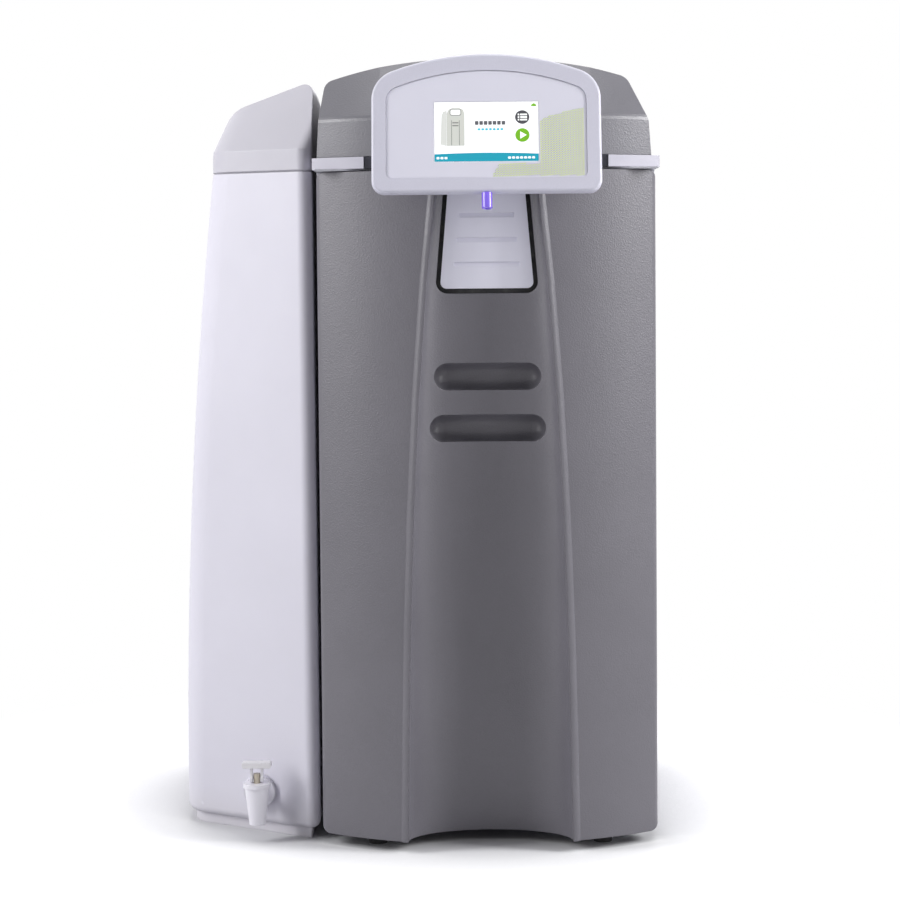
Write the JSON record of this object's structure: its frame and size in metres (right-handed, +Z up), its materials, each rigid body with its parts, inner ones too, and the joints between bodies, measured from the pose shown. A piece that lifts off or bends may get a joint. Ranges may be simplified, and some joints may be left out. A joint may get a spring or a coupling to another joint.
{
  "type": "ultrapure water system",
  "caption": "Floor-standing laboratory water purifier: a cabinet with a bowed, grooved front door and grey hood, a display head with a dispense nozzle, and a white side tank with a tap.",
  "frame": {"origin": "middle of the outline's width and depth, on the floor", "axes": "+X to the right as seen from the front, +Y towards the back, +Z up"},
  "size_m": [0.5558, 0.5718, 0.8932],
  "materials": {
    "door_grey": "fine moulded leather grain",
    "panel_grey": "satin moulded",
    "seal_black": "soft black seal",
    "hinge_steel": "plain steel",
    "collar_light": "satin moulded",
    "rail_dark": "dark satin",
    "cabinet_steel": "light grey powder coat",
    "foot_rubber": "black rubber",
    "hood_grey": "fine moulded leather grain",
    "bezel_light": "satin gloss",
    "fascia_light": null,
    "screen_glass": "lit display behind a clear sheet",
    "head_shell": "satin moulded",
    "nozzle_violet": "translucent, lit from inside",
    "tank_white": "smooth translucent polyethylene look",
    "lid_light": "fine moulded grain",
    "port_white": "plain white",
    "tap_white": "smooth moulded",
    "stem_cream": "smooth moulded",
    "lever_white": "smooth moulded",
    "vessel_white": "smooth pressure tube",
    "cap_blue": "moulded cap",
    "cartridge_white": "smooth moulded",
    "manifold_black": "glass-filled plastic",
    "motor_metal": "cast",
    "pump_brass": "cast",
    "lamp_steel": "polished tube",
    "box_grey": "moulded case",
    "inlet_black": "black",
    "rocker_black": "black"
  },
  "bodies": {
    "cabinet": {"door_pivot_left": "hinge_steel", "door_pivot_right": "hinge_steel", "collar_left": "collar_light", "collar_right": "collar_light", "display_rail": "rail_dark", "top_deck": "cabinet_steel", "base_pan": "cabinet_steel", "side_panel_left": "cabinet_steel", "side_panel_right": "cabinet_steel", "back_panel": "cabinet_steel", "foot_front_left": "foot_rubber", "foot_front_right": "foot_rubber", "foot_rear_left": "foot_rubber", "foot_rear_right": "foot_rubber", "hood_hinge_left": "hinge_steel", "hood_hinge_right": "hinge_steel", "display_bezel": "bezel_light", "display_fascia": "fascia_light", "touch_screen": "screen_glass", "display_back": "head_shell", "display_arm": "rail_dark", "dispense_nozzle": "nozzle_violet", "tank_body": "tank_white", "tank_port": "port_white", "tank_bracket": "cabinet_steel", "tap_body": "tap_white", "tap_nut": "tap_white", "mounting_plate": "cabinet_steel", "membrane_vessel_1": "vessel_white", "membrane_vessel_2": "vessel_white", "vessel_foot_cap_1": "cap_blue", "vessel_foot_cap_2": "cap_blue", "vessel_head_cap_1": "cap_blue", "vessel_head_cap_2": "cap_blue", "purification_cartridge_1": "cartridge_white", "purification_cartridge_2": "cartridge_white", "cartridge_manifold": "manifold_black", "pump_motor": "motor_metal", "booster_pump": "pump_brass", "motor_cradle": "seal_black", "ultraviolet_chamber": "lamp_steel", "lamp_cap_left": "manifold_black", "lamp_cap_right": "manifold_black", "lamp_saddle_left": "manifold_black", "lamp_saddle_right": "manifold_black", "control_box": "box_grey", "feed_port": "port_white", "drain_port": "port_white", "loop_port": "port_white", "power_inlet": "inlet_black", "switch_frame": "inlet_black"},
    "door": {"front_door": "door_grey", "dispense_panel": "panel_grey", "dispense_seal": "seal_black"},
    "hood": {"top_hood": "hood_grey"},
    "lid": {"tank_lid": "lid_light"},
    "lever": {"tap_lever": "lever_white"},
    "stem": {"tap_stem": "stem_cream"},
    "rocker": {"power_rocker": "rocker_black"}
  },
  "joints": [
    {"name": "hood_hinge", "type": "hinge", "parent": "cabinet", "child": "hood", "pos_m": [0.08325, 0.2701, 0.7844], "axis": [-1, 0, 0], "range_deg": [0, 60]},
    {"name": "door_tilt", "type": "hinge", "parent": "cabinet", "child": "door", "pos_m": [0.08325, -0.1947, 0.75], "axis": [-1, 0, 0], "range_deg": [0, 12]},
    {"name": "lid_lift", "type": "slide", "parent": "cabinet", "child": "lid", "axis": [0, 0, 1], "range_m": [0, 0.12]},
    {"name": "tap_lever_turn", "type": "hinge", "parent": "cabinet", "child": "lever", "pos_m": [-0.18445, -0.1646, 0.0745], "axis": [1, 0, 0], "range_deg": [0, 40], "stiffness_Nm_per_rad": 0.05, "springref_deg": -11.46},
    {"name": "tap_stem_slide", "type": "slide", "parent": "cabinet", "child": "stem", "axis": [0, 0, 1], "range_m": [0, 0.003]},
    {"name": "power_rocker_turn", "type": "hinge", "parent": "cabinet", "child": "rocker", "pos_m": [0.20325, 0.2688, 0.162], "axis": [1, 0, 0], "range_deg": [0, 14]}
  ],
  "couplings": [
    {"joint": "tap_stem_slide", "follows": "tap_lever_turn", "m_per_rad": 0.00428}
  ]
}
